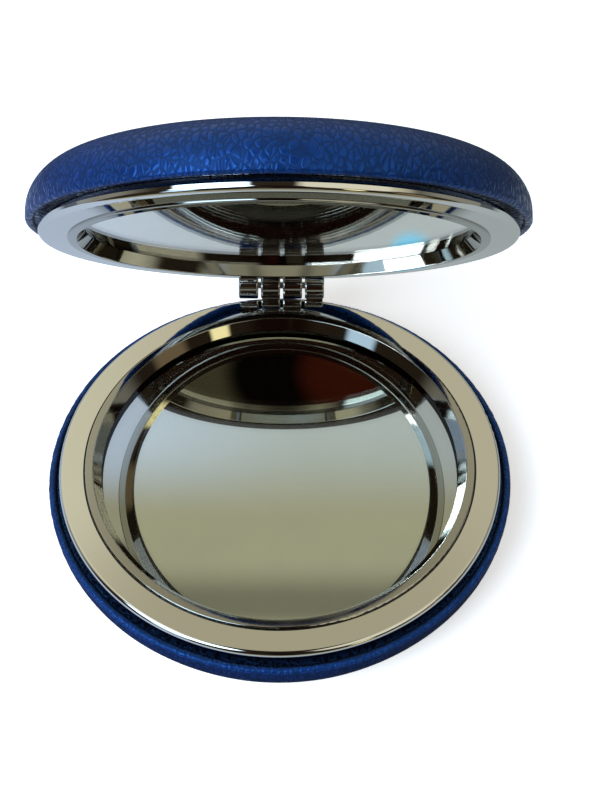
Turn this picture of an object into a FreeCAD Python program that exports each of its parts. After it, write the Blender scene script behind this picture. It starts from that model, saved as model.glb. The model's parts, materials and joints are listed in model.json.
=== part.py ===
import FreeCAD
import Part
import Sketcher
import math
import os
import re

# Round padded compact: two like halves, each with a mirror, on one friction hinge.
# Lengths are in millimetres and angles in degrees. The origin is the centre of the flat
# rest face under the lower half, +Z is up, and the hinge is at the back, at +Y.
# A half is drawn with its mirror side up and its rim face at zero height.
SIZES = {
    "rim_diameter": (66.7, "outside of the plated rim"),
    "rim_thickness": (1.1, "height of the rim's outer wall"),
    "rim_edge_round": (0.7, "rounding between the rim's face and its wall"),
    "face_width": (3.95, "flat ring between the rim's wall and the bezel's lip"),
    "skirt_inset": (1.5, "rim wall in to the skirt's outer face"),
    "skirt_wall": (0.8, "wall of the skirt that the cover is glued on"),
    "skirt_depth": (4.3, "rim face down to the skirt's foot"),
    "collar_wall": (1.1, "wall of the collar round the mirror"),
    "collar_overhang": (0.3, "collar's reach past the back of the glass"),
    "bezel_flange": (0.4, "bezel's seat on the rim's face"),
    "bezel_fit": (0.05, "radial gap between bezel and collar"),
    "lip_height": (0.3, "bezel's lip above the rim's face"),
    "lip_land": (1.25, "width of the lip's top"),
    "lip_rise": (0.06, "rise of the lip's land from its outer edge to the mirror"),
    "lip_round": (0.2, "rounding of the lip's edges"),
    "wall_taper": (1.1, "how far the bezel's wall slopes in to the glass"),
    "glass_depth": (1.4, "rim face down to the glass"),
    "glass_thickness": (1.5, "mirror glass"),
    "glass_edge_round": (0.15, "ground edge of the glass"),
    "glass_fit": (0.15, "radial gap between glass and collar"),
    "seat_gap": (0.05, "glue line between stacked pieces"),
    "pad_thickness": (0.8, "adhesive foam behind the glass"),
    "pad_inset": (1.5, "glass edge in to the pad's edge"),
    "shell_wall": (0.8, "side wall of the cover shell"),
    "shell_floor": (0.9, "floor of the cover shell"),
    "shell_fit": (0.05, "radial gap between shell and skirt"),
    "shell_corner_round": (1.0, "outer bottom corner of the shell"),
    "plateau_inset": (0.8, "collar bore in to the edge of the shell's plateau"),
    "plateau_round": (0.3, "edge of the shell's plateau"),
    "trough_gap": (0.3, "skirt's foot down to the shell's trough"),
    "half_depth": (11.6, "rim face down to the rest face"),
    "cover_bulge": (1.7, "how far the padded cover stands out past the rim"),
    "cover_thickness": (1.0, "leather cover"),
    "crevice_gap": (0.65, "gap between the rim's wall and the folded cover edge"),
    "fold_width": (1.2, "thickness of the cover where its edge is folded over"),
    "fold_depth": (0.5, "top of the fold down to the flap tucked under the rim"),
    "fold_round": (0.45, "inner top edge of the fold"),
    "flap_thickness": (0.4, "thinned flap that is glued under the rim"),
    "flap_gap": (0.15, "skirt out to the edge of the flap"),
    "roll_round": (0.55, "outer top edge of the fold"),
    "crown_inset": (11.8, "cover's side in to where the crown starts to fall"),
    "crown_slope": (16.8, "fall of the crown towards the shoulder, degrees"),
    "shoulder_share": (0.867, "part of the cover's side taken by the shoulder's curve"),
    "crown_share": (0.97, "part of the crown's slope taken by the crown's curve"),
    "foam_gap": (0.15, "room between the foam and its neighbours"),
    "lip_gap": (0.21, "each lip's distance from the closing plane"),
    "barrel_radius": (2.3, "hinge knuckle"),
    "barrel_edge_round": (0.25, "rounded ends of a knuckle"),
    "arm_stop": (0.9, "pin's axis out to where a hinge arm ends inside its knuckle"),
    "hinge_setback": (2.25, "rim's edge back to the pin's axis"),
    "knuckle_width": (3.25, "length of one knuckle along the pin"),
    "knuckle_gap": (0.45, "gap between knuckles"),
    "arm_drop": (0.15, "rim face down to the top of a hinge arm"),
    "arm_thickness": (0.8, "hinge arm where it leaves the rim"),
    "arm_root": (1.6, "how far a hinge arm is rooted in the rim"),
    "pin_diameter": (1.2, "hinge pin"),
    "pin_clearance": (0.03, "radial running gap round the pin"),
    "pin_end_round": (0.2, "rounded ends of the pin"),
    "lid_angle": (54.0, "how far the upper half stands open, degrees"),
}
# Places along the pin, from left to right. The lower half carries the second and fourth knuckles.
KNUCKLE_COLUMNS = (1, 2, 3, 4)
LOWER_COLUMNS = KNUCKLE_COLUMNS[1::2]
MIDDLE_COLUMN = (KNUCKLE_COLUMNS[0] + KNUCKLE_COLUMNS[-1]) / 2

# Lengths that follow from the sizes, as formulas of them.
RIM_RADIUS = "rim_diameter / 2"
LIP_RADIUS = f"({RIM_RADIUS} - face_width)"
BORE_RADIUS = f"({LIP_RADIUS} - bezel_flange)"
VIEW_RADIUS = f"({LIP_RADIUS} - lip_land - wall_taper)"
GLASS_RADIUS = f"({BORE_RADIUS} - glass_fit)"
GLASS_BACK = "(glass_depth + glass_thickness)"
PAD_TOP = f"({GLASS_BACK} + seat_gap)"
PAD_FOOT = f"({PAD_TOP} + pad_thickness)"
PLATEAU_TOP = f"({PAD_FOOT} + seat_gap)"
PLATEAU_RADIUS = f"({BORE_RADIUS} - plateau_inset)"
SKIRT_RADIUS = f"({RIM_RADIUS} - skirt_inset)"
SHELL_RADIUS = f"({SKIRT_RADIUS} + shell_fit + shell_wall)"
TROUGH_TOP = "(skirt_depth + trough_gap)"
COVER_RADIUS = f"({RIM_RADIUS} + cover_bulge)"
EDGE_DEPTH = "(rim_thickness + crevice_gap)"
FLAP_TOP = f"({EDGE_DEPTH} + fold_depth)"
FLAP_FOOT = f"({FLAP_TOP} + flap_thickness)"
HINGE_BACK = f"({RIM_RADIUS} + hinge_setback)"
CLOSING_HEIGHT = "(lip_height + lip_rise + lip_gap)"
KNUCKLE_PITCH = "(knuckle_width + knuckle_gap)"
SLOPE = "crown_slope * 1 deg"
SHOULDER_DEPTH = f"(half_depth - crown_inset * tan({SLOPE}))"
SHOULDER_REACH = f"(({SHOULDER_DEPTH} - {EDGE_DEPTH} - roll_round) * shoulder_share)"
SHOULDER_ROUND = f"({SHOULDER_REACH} / tan((90 deg - {SLOPE}) / 2))"
CROWN_REACH = f"((crown_inset / cos({SLOPE}) - {SHOULDER_REACH}) * crown_share)"
CROWN_ROUND = f"({CROWN_REACH} / tan({SLOPE} / 2))"

document = FreeCAD.newDocument("CompactMirror")
sheet = document.addObject("Spreadsheet::Sheet", "Sizes")


def fill_sheet():
    """Writes each size with its name and its meaning on a row of its own."""
    for row, (name, (value, meaning)) in enumerate(SIZES.items(), start=1):
        sheet.set(f"A{row}", name)
        sheet.set(f"B{row}", str(value))
        sheet.set(f"C{row}", meaning)
        sheet.setAlias(f"B{row}", name)
    document.recompute()


def cells(formula):
    """Turns a formula of size names into one that reads the sheet's cells."""
    return re.sub(r"[a-z_]+", lambda word: f"Sizes.{word[0]}" if word[0] in SIZES else word[0], formula)


def number(formula):
    """Gives the present value of a formula of size names."""
    value = sheet.evalExpression(cells(formula))
    return float(getattr(value, "Value", value))


def new_body(label):
    """Starts a piece of the given name."""
    body = document.addObject("PartDesign::Body", label)
    body.Label = label
    return body


def new_sketch(body, name, role):
    """Starts a sketch on one of the piece's own origin planes."""
    sketch = body.newObject("Sketcher::SketchObject", name)
    plane = next(item for item in body.Origin.OriginFeatures if item.Role == role)
    sketch.AttachmentSupport = [(plane, "")]
    sketch.MapMode = "FlatFace"
    return sketch


def bind(sketch, kind, *target, formula):
    """Adds a dimension to a sketch and ties it to a formula of size names."""
    index = sketch.addConstraint(Sketcher.Constraint(kind, *target, number(formula)))
    sketch.setExpression(f"Constraints[{index}]", cells(formula))


def pin_point(sketch, geometry, position, across, up):
    """Ties a point of a sketch to a place given by two formulas."""
    bind(sketch, "DistanceX", -1, 1, geometry, position, formula=across)
    bind(sketch, "DistanceY", -1, 1, geometry, position, formula=up)


def corner_arc(before, corner, after, radius):
    """Gives the start, the end and the middle of the arc that rounds a corner of an outline."""
    towards_before = (before - corner).normalize()
    towards_after = (after - corner).normalize()
    half_angle = towards_before.getAngle(towards_after) / 2
    reach = radius / math.tan(half_angle)
    start = corner + towards_before * reach
    end = corner + towards_after * reach
    bisector = (towards_before + towards_after).normalize()
    centre = corner + bisector * (radius / math.sin(half_angle))
    middle = centre - bisector * radius
    return start, end, middle


def outline(sketch, corners):
    """Draws a closed outline through corners, each a formula across, a formula up and a rounding or None."""
    places = [FreeCAD.Vector(number(across), number(up), 0) for across, up, _ in corners]
    count = len(corners)
    starts = []
    ends = []
    arcs = {}
    for index, (_, _, rounding) in enumerate(corners):
        if rounding is None:
            starts.append(places[index])
            ends.append(places[index])
            continue
        before = places[index - 1]
        after = places[(index + 1) % count]
        start, end, middle = corner_arc(before, places[index], after, number(rounding))
        arcs[index] = Part.Arc(start, middle, end)
        starts.append(start)
        ends.append(end)
    lines = []
    for index in range(count):
        following = (index + 1) % count
        lines.append(sketch.addGeometry(Part.LineSegment(ends[index], starts[following]), False))
    for index, (across, up, rounding) in enumerate(corners):
        into = lines[index - 1]
        out = lines[index]
        if rounding is None:
            sketch.addConstraint(Sketcher.Constraint("Coincident", into, 2, out, 1))
            pin_point(sketch, out, 1, across, up)
            continue
        arc = sketch.addGeometry(arcs[index], False)
        corner = sketch.addGeometry(Part.Point(places[index]), True)
        pin_point(sketch, corner, 1, across, up)
        sketch.addConstraint(Sketcher.Constraint("PointOnObject", corner, 1, into))
        sketch.addConstraint(Sketcher.Constraint("PointOnObject", corner, 1, out))
        arc_start = sketch.getPoint(arc, 1)
        runs_forward = arc_start.distanceToPoint(starts[index]) < arc_start.distanceToPoint(ends[index])
        first, last = (1, 2) if runs_forward else (2, 1)
        sketch.addConstraint(Sketcher.Constraint("Tangent", into, 2, arc, first))
        sketch.addConstraint(Sketcher.Constraint("Tangent", out, 1, arc, last))
        bind(sketch, "Radius", arc, formula=rounding)


def turned(label, corners):
    """Makes a piece by turning an outline, radius across and height up, about the half's axis."""
    body = new_body(label)
    sketch = new_sketch(body, f"{label}_section", "XZ_Plane")
    outline(sketch, corners)
    turning = body.newObject("PartDesign::Revolution", f"{label}_turning")
    turning.Profile = sketch
    turning.ReferenceAxis = (sketch, ["V_Axis"])
    turning.Angle = 360
    return body


def below(depth):
    """Gives the height of a place that lies below the rim's face."""
    return f"-({depth})"


def dome(inset):
    """Gives the cover's shoulder and crown, from its side to the axis, at a depth inside its outer face."""
    side = f"({COVER_RADIUS} - {inset})"
    break_radius = f"({COVER_RADIUS} - crown_inset - {inset} * tan({SLOPE} / 2))"
    foot = f"(half_depth - {inset})"
    shoulder = f"({foot} - ({side} - {break_radius}) * tan({SLOPE}))"
    return [
        (side, below(shoulder), f"{SHOULDER_ROUND} - {inset}"),
        (break_radius, below(foot), f"{CROWN_ROUND} - {inset}"),
        ("0", below(foot), None),
    ]


def rim_frame(label, columns):
    """Makes the plated casting: face, wall, skirt, collar and the hinge knuckles at the given columns."""
    collar_foot = below(f"{GLASS_BACK} + collar_overhang")
    under = below("rim_thickness")
    body = turned(label, [
        (BORE_RADIUS, "0", None),
        (RIM_RADIUS, "0", "rim_edge_round"),
        (RIM_RADIUS, under, None),
        (SKIRT_RADIUS, under, None),
        (SKIRT_RADIUS, below("skirt_depth"), None),
        (f"{SKIRT_RADIUS} - skirt_wall", below("skirt_depth"), None),
        (f"{SKIRT_RADIUS} - skirt_wall", under, None),
        (f"{BORE_RADIUS} + collar_wall", under, None),
        (f"{BORE_RADIUS} + collar_wall", collar_foot, None),
        (BORE_RADIUS, collar_foot, None),
    ])
    for column in columns:
        knuckle(body, f"{label}_knuckle_{column}", f"{KNUCKLE_PITCH} * ({column} - {MIDDLE_COLUMN})")
    return body


def knuckle(body, name, offset):
    """Adds a hinge arm and the bored, round-ended knuckle on it, centred at an offset along the pin."""
    root = f"{RIM_RADIUS} - arm_root"
    reach = f"{HINGE_BACK} - arm_stop"
    top = below("arm_drop")
    foot = below("arm_drop + arm_thickness")
    side = new_sketch(body, f"{name}_arm_side", "YZ_Plane")
    side.setExpression("AttachmentOffset.Base.z", cells(offset))
    outline(side, [(root, top, None), (reach, top, None), (reach, foot, None), (root, foot, None)])
    arm = body.newObject("PartDesign::Pad", f"{name}_arm")
    arm.Profile = side
    arm.setExpression("Length", cells("knuckle_width - 2 * barrel_edge_round"))
    arm.Midplane = True
    section = new_sketch(body, f"{name}_section", "XZ_Plane")
    section.setExpression("AttachmentOffset.Base.x", cells(offset))
    section.setExpression("AttachmentOffset.Base.y", cells(CLOSING_HEIGHT))
    section.setExpression("AttachmentOffset.Base.z", cells(below(HINGE_BACK)))
    end = "knuckle_width / 2"
    bore = "pin_diameter / 2 + pin_clearance"
    outline(section, [
        (f"-{end}", bore, None),
        (end, bore, None),
        (end, "barrel_radius", "barrel_edge_round"),
        (f"-{end}", "barrel_radius", "barrel_edge_round"),
    ])
    barrel = body.newObject("PartDesign::Revolution", f"{name}_barrel")
    barrel.Profile = section
    barrel.ReferenceAxis = (section, ["H_Axis"])
    barrel.Angle = 360


def mirror_bezel(label):
    """Makes the ring that holds the glass: a raised lip on the rim and a wall that slopes to the glass."""
    sleeve = f"{BORE_RADIUS} - bezel_fit"
    foot = below("glass_depth - seat_gap")
    return turned(label, [
        (VIEW_RADIUS, foot, None),
        (sleeve, foot, None),
        (sleeve, "0", None),
        (LIP_RADIUS, "0", None),
        (LIP_RADIUS, "lip_height", "lip_round"),
        (f"{LIP_RADIUS} - lip_land", "lip_height + lip_rise", "lip_round"),
    ])


def mirror_glass(label):
    """Makes the round glass, ground at its edge."""
    return turned(label, [
        ("0", below("glass_depth"), None),
        (GLASS_RADIUS, below("glass_depth"), "glass_edge_round"),
        (GLASS_RADIUS, below(GLASS_BACK), "glass_edge_round"),
        ("0", below(GLASS_BACK), None),
    ])


def mirror_pad(label):
    """Makes the adhesive foam disc between the glass and the shell."""
    radius = f"{GLASS_RADIUS} - pad_inset"
    return turned(label, [
        ("0", below(PAD_TOP), None),
        (radius, below(PAD_TOP), None),
        (radius, below(PAD_FOOT), None),
        ("0", below(PAD_FOOT), None),
    ])


def cover_shell(label):
    """Makes the moulded dish: a wall outside the skirt, a trough under it and a plateau under the pad."""
    inner_wall = f"{SKIRT_RADIUS} + shell_fit"
    wall_top = below(f"{FLAP_FOOT} + seat_gap")
    trough_foot = below(f"{TROUGH_TOP} + shell_floor")
    plateau_foot = below(f"{PLATEAU_TOP} + shell_floor")
    return turned(label, [
        ("0", below(PLATEAU_TOP), None),
        (PLATEAU_RADIUS, below(PLATEAU_TOP), "plateau_round"),
        (PLATEAU_RADIUS, below(TROUGH_TOP), None),
        (inner_wall, below(TROUGH_TOP), None),
        (inner_wall, wall_top, None),
        (SHELL_RADIUS, wall_top, None),
        (SHELL_RADIUS, trough_foot, "shell_corner_round"),
        (f"{PLATEAU_RADIUS} - shell_floor", trough_foot, None),
        (f"{PLATEAU_RADIUS} - shell_floor", plateau_foot, None),
        ("0", plateau_foot, None),
    ])


def cover_foam(label):
    """Makes the padding between the shell and the leather, crowned and drawn in at the side."""
    inset = "(cover_thickness + foam_gap)"
    inner = f"{SHELL_RADIUS} + foam_gap"
    top = below(f"{FLAP_FOOT} + foam_gap")
    trough_foot = below(f"{TROUGH_TOP} + shell_floor + foam_gap")
    plateau_foot = below(f"{PLATEAU_TOP} + shell_floor + foam_gap")
    step = f"{PLATEAU_RADIUS} - shell_floor - foam_gap"
    return turned(label, [
        ("0", plateau_foot, None),
        (step, plateau_foot, None),
        (step, trough_foot, None),
        (inner, trough_foot, "shell_corner_round"),
        (inner, top, None),
        (f"{COVER_RADIUS} - {inset}", top, None),
        *dome(inset),
    ])


def leather_cover(label):
    """Makes the leather: crown, side, an edge folded over beside the rim and a flap tucked under it."""
    edge = f"{SKIRT_RADIUS} + flap_gap"
    fold = f"{COVER_RADIUS} - fold_width"
    return turned(label, [
        *reversed(dome("cover_thickness")),
        (f"{COVER_RADIUS} - cover_thickness", below(FLAP_FOOT), None),
        (edge, below(FLAP_FOOT), None),
        (edge, below(FLAP_TOP), None),
        (fold, below(FLAP_TOP), None),
        (fold, below(EDGE_DEPTH), "fold_round"),
        (COVER_RADIUS, below(EDGE_DEPTH), "roll_round"),
        *dome("0"),
    ])


def hinge_pin(label):
    """Makes the pin that runs through all the knuckles, with rounded ends."""
    body = new_body(label)
    sketch = new_sketch(body, f"{label}_section", "XZ_Plane")
    end = f"({KNUCKLE_PITCH} * {len(KNUCKLE_COLUMNS)} - knuckle_gap) / 2"
    outline(sketch, [
        (f"-{end}", "0", None),
        (end, "0", None),
        (end, "pin_diameter / 2", "pin_end_round"),
        (f"-{end}", "pin_diameter / 2", "pin_end_round"),
    ])
    turning = body.newObject("PartDesign::Revolution", f"{label}_turning")
    turning.Profile = sketch
    turning.ReferenceAxis = (sketch, ["H_Axis"])
    turning.Angle = 360
    return body


def half(side, columns):
    """Makes the seven pieces of one half, with its knuckles at the given columns."""
    return [
        rim_frame(f"{side}_rim_frame", columns),
        mirror_bezel(f"{side}_mirror_bezel"),
        mirror_glass(f"{side}_mirror_glass"),
        mirror_pad(f"{side}_mirror_pad"),
        cover_shell(f"{side}_cover_shell"),
        cover_foam(f"{side}_cover_foam"),
        leather_cover(f"{side}_leather_cover"),
    ]


def check(bodies):
    """Stops if anything in the document failed or a piece is not one sound solid."""
    for item in document.Objects:
        if "Invalid" in item.State or "Error" in item.State:
            raise RuntimeError(f"{item.Label} failed: {item.State}")
    for body in bodies:
        if body.Shape.isNull() or not body.Shape.isValid() or len(body.Shape.Solids) != 1:
            raise RuntimeError(f"{body.Label} is not one sound solid")


def main():
    """Builds both halves and the pin, places them and writes each piece to its file."""
    fill_sheet()
    rim_height = number("half_depth")
    closing_height = number(CLOSING_HEIGHT)
    hinge = FreeCAD.Vector(0, number(HINGE_BACK), rim_height + closing_height)
    on_the_base = FreeCAD.Placement(FreeCAD.Vector(0, 0, rim_height), FreeCAD.Rotation())
    across = FreeCAD.Rotation(FreeCAD.Vector(0, 1, 0), 180)
    closed = FreeCAD.Placement(FreeCAD.Vector(0, 0, rim_height + 2 * closing_height), across)
    swing = FreeCAD.Rotation(FreeCAD.Vector(1, 0, 0), -number("lid_angle"))
    opened = FreeCAD.Placement(FreeCAD.Vector(0, 0, 0), swing, hinge).multiply(closed)
    # The upper half is the same casting turned over, so its knuckles come to the first and third places.
    lower = half("lower", LOWER_COLUMNS)
    upper = half("upper", LOWER_COLUMNS)
    pin = hinge_pin("hinge_pin")
    for body in lower:
        body.Placement = on_the_base
    for body in upper:
        body.Placement = opened
    pin.Placement = FreeCAD.Placement(hinge, FreeCAD.Rotation())
    document.recompute()
    bodies = [*lower, *upper, pin]
    check(bodies)
    os.makedirs("parts", exist_ok=True)
    for body in bodies:
        body.Shape.exportStep(f"parts/{body.Label}.step")
        box = body.Shape.BoundBox
        spans = f"{box.XLength:.2f} x {box.YLength:.2f} x {box.ZLength:.2f} mm"
        print(f"{body.Label}: {body.Shape.Volume:.1f} mm3, {spans}")
    print(f"hinge axis at y {hinge.y:.4f} mm, z {hinge.z:.4f} mm")


main()
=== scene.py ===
"""Looks of a round pocket mirror: two plated halves on one hinge, each with a mirror and a padded leather cover.

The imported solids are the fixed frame. Both halves are the same casting, so each shape is worked out once, lying
face up, and a placement carries the upper half's copy over the hinge. All lengths are in metres.
"""

import json
import logging
import math
from dataclasses import dataclass
from enum import Enum

import bpy
import numpy as np
from bpy.types import Material, Node, NodeSocket, NodeTree, Object
from mathutils import Matrix, Vector


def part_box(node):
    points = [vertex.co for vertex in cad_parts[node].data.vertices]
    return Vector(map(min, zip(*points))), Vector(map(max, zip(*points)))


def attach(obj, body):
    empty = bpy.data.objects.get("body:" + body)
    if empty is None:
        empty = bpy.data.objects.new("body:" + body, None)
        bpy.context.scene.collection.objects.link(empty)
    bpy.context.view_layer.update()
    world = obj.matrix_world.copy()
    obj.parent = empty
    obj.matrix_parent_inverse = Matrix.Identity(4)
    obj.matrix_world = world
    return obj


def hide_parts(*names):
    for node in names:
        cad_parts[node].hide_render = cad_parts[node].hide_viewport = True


Array = np.ndarray
Triple = tuple[float, float, float]

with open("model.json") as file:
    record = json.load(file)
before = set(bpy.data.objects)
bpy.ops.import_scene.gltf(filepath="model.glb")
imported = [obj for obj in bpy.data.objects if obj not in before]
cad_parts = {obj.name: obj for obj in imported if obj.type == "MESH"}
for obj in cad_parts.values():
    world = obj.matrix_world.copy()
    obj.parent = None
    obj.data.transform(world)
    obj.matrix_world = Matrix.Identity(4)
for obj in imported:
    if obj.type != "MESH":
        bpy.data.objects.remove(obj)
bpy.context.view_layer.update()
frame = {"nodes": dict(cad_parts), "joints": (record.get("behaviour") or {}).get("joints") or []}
LOG = logging.getLogger("pocket_mirror")
MM = 0.001
FLAT_PATTERN = "flat_pattern"
PAINTED_FOLD_SHADE = "painted_fold_shade"
LYING_PLACE = "lying_place"
ARC_DEGREES = 4
TINY = 1e-6
WHITE = (1.0, 1.0, 1.0, 1.0)
# Noise seldom leaves this band, which a finish maps onto its own range.
NOISE_BAND = (0.3, 0.7)


class Half(Enum):
    """The two halves of the case, named as their pieces are."""

    LOWER = "lower"
    UPPER = "upper"

    @property
    def body(self) -> str:
        """The moving body that this half's pieces ride on."""
        return f"{self.value}_half"

    def node(self, piece: str) -> str:
        """Names the solid that a piece of this half has in the frame.

        Args:
            piece: the name that both halves share.

        Returns:
            The name with its half.
        """
        return f"{self.value}_{piece}"


def linear(code: str) -> tuple[float, float, float, float]:
    """Turns an sRGB hex colour into linear light.

    Args:
        code: six hex digits after a hash sign.

    Returns:
        Linear red, green, blue and an alpha of one.
    """
    shares = [int(code[place:place + 2], 16) / 255 for place in (1, 3, 5)]
    red, green, blue = (s / 12.92 if s <= 0.04045 else ((s + 0.055) / 1.055) ** 2.4 for s in shares)
    return red, green, blue, 1.0


@dataclass(frozen=True)
class Fade:
    """A value that goes from low to high as another goes from start to stop."""

    start: float
    stop: float
    low: float = 0.0
    high: float = 1.0

    @property
    def sockets(self) -> dict[str, float]:
        """The fade as the socket values of a Map Range node."""
        return {"From Min": self.start, "From Max": self.stop, "To Min": self.low, "To Max": self.high}


def plug(tree: NodeTree, node: Node, values: dict | None, links: dict | None) -> None:
    """Sets the sockets of a node.

    Args:
        tree: the node tree that holds the node.
        node: the node.
        values: socket name or number to a constant value.
        links: socket name or number to the output that feeds it, or to a node whose first open output does.
    """
    for socket, value in (values or {}).items():
        node.inputs[socket].default_value = value
    for socket, source in (links or {}).items():
        if isinstance(source, Node):
            source = next(output for output in source.outputs if output.enabled)
        tree.links.new(source, node.inputs[socket])


def add_node(
    tree: NodeTree, kind: str, values: dict | None = None, links: dict | None = None, **settings: object
) -> Node:
    """Adds one node with its settings, socket values and incoming links.

    Args:
        tree: the node tree that takes the node.
        kind: the node's type name after ShaderNode.
        values: constant values, as plug takes them.
        links: incoming links, as plug takes them.
        settings: properties of the node itself.

    Returns:
        The new node.
    """
    node = tree.nodes.new(f"ShaderNode{kind}")
    for name, value in settings.items():
        setattr(node, name, value)
    plug(tree, node, values, links)
    return node


def new_material(name: str) -> tuple[Material, NodeTree, Node, NodeSocket]:
    """Makes a material that holds one shader and reads Object coordinates.

    Args:
        name: what the material is.

    Returns:
        The material, its node tree, its surface shader and the Object coordinates.
    """
    material = bpy.data.materials.new(name)
    material.use_nodes = True
    tree = material.node_tree
    place = add_node(tree, "TexCoord").outputs["Object"]
    return material, tree, tree.nodes["Principled BSDF"], place


@dataclass(frozen=True)
class PolishedPlate:
    """Polished plate on cast zinc: near-mirror, with the faint waviness and haze of a buffed casting."""

    name: str
    colour: str
    edge_tint_and_fold_shade: str
    haze: Fade
    crown: float
    haze_size: float = 5 * MM
    wave_size: float = 7 * MM
    wave_height: float = 0.0012 * MM

    def material(self) -> Material:
        """Builds the plate: a bright metal with drifting haze, micron waves and a face that buffing has crowned.

        The crown is a fall towards the outside: the height under the bump is minus the distance from the half's
        axis, times the crown's slope.

        Returns:
            The new material.
        """
        material, tree, shader, place = new_material(self.name)
        haze = add_node(tree, "TexNoise", {"Scale": 1 / self.haze_size, "Detail": 3.0}, {"Vector": place})
        rough = add_node(tree, "MapRange", self.haze.sockets, {"Value": haze})
        wave = add_node(tree, "TexNoise", {"Scale": 1 / self.wave_size, "Detail": 1.0}, {"Vector": place})
        bump = add_node(tree, "Bump", {"Distance": self.wave_height}, {"Height": wave})
        lying = add_node(tree, "Attribute", attribute_name=LYING_PLACE).outputs["Vector"]
        level = add_node(tree, "VectorMath", {1: (1.0, 1.0, 0.0)}, {0: lying}, operation="MULTIPLY")
        radius = add_node(tree, "VectorMath", None, {0: level}, operation="LENGTH")
        crowned = add_node(tree, "Bump", {"Distance": self.crown}, {"Height": radius, "Normal": bump}, invert=True)
        metal = {"Base Color": linear(self.colour), "Specular Tint": linear(self.edge_tint_and_fold_shade), "Metallic": 1.0}
        plug(tree, shader, metal, {"Roughness": rough, "Normal": crowned})
        return material


BRIGHT_CHROME = PolishedPlate("chrome_plate_on_zinc", "#dededc", "#e6e6e6", Fade(*NOISE_BAND, 0.02, 0.05), 0.09)
DARK_NICKEL = PolishedPlate("dark_nickel_plate_on_zinc", "#aeaeaa", "#e6e6e6", Fade(*NOISE_BAND, 0.03, 0.06), 0.0)


@dataclass(frozen=True)
class PaintedJointShadow:
    """A painted shadow line in the joint round the bezel: black, glossy, with a slightly uneven surface."""

    name: str = "painted_joint_shadow"
    # Painted shadow: the near-black stands for the shade and dark reflection in the gap between bezel and rim.
    colour: str = "#0b0a09"
    gloss: Fade = Fade(*NOISE_BAND, 0.16, 0.3)
    ripple_size: float = 0.9 * MM
    ripple_height: float = 0.006 * MM

    def material(self) -> Material:
        """Builds the painted shadow line: a dark gloss that ripples along the joint.

        Returns:
            The new material.
        """
        material, tree, shader, place = new_material(self.name)
        ripple = add_node(tree, "TexNoise", {"Scale": 1 / self.ripple_size}, {"Vector": place})
        rough = add_node(tree, "MapRange", self.gloss.sockets, {"Value": ripple})
        bump = add_node(tree, "Bump", {"Distance": self.ripple_height}, {"Height": ripple})
        plug(tree, shader, {"Base Color": linear(self.colour)}, {"Roughness": rough, "Normal": bump})
        return material


@dataclass(frozen=True)
class SilveredBack:
    """Silver laid on the back of the glass: the mirror itself, a clean metal with hardly any haze."""

    name: str = "silver_on_glass"
    colour: str = "#f7f7f2"
    dim_colour: str = "#f1f2ee"
    cloud_size: float = 9 * MM
    haze: float = 0.004

    def material(self) -> Material:
        """Builds the silver: its tone drifts a little from place to place.

        Returns:
            The new material.
        """
        material, tree, shader, place = new_material(self.name)
        cloud = add_node(tree, "TexNoise", {"Scale": 1 / self.cloud_size}, {"Vector": place})
        tone = add_node(
            tree, "Mix", {"A": linear(self.colour), "B": linear(self.dim_colour)}, {"Factor": cloud}, data_type="RGBA"
        )
        plug(tree, shader, {"Metallic": 1.0, "Roughness": self.haze}, {"Base Color": tone})
        return material


@dataclass(frozen=True)
class FloatGlass:
    """Float glass: clear and flat, a trace green, with two reflecting faces that give the mirror its faint ghosts."""

    name: str = "float_glass"
    colour: str = "#fdfefd"
    index: float = 1.52
    film_size: float = 12 * MM
    film: Fade = Fade(*NOISE_BAND, 0.0, 0.012)

    def material(self) -> Material:
        """Builds the glass: clear, with the thinnest film of handling haze.

        Returns:
            The new material.
        """
        material, tree, shader, place = new_material(self.name)
        film = add_node(tree, "TexNoise", {"Scale": 1 / self.film_size}, {"Vector": place})
        rough = add_node(tree, "MapRange", self.film.sockets, {"Value": film})
        clear = {"Base Color": linear(self.colour), "Transmission Weight": 1.0, "IOR": self.index}
        plug(tree, shader, clear, {"Roughness": rough})
        return material


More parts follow.
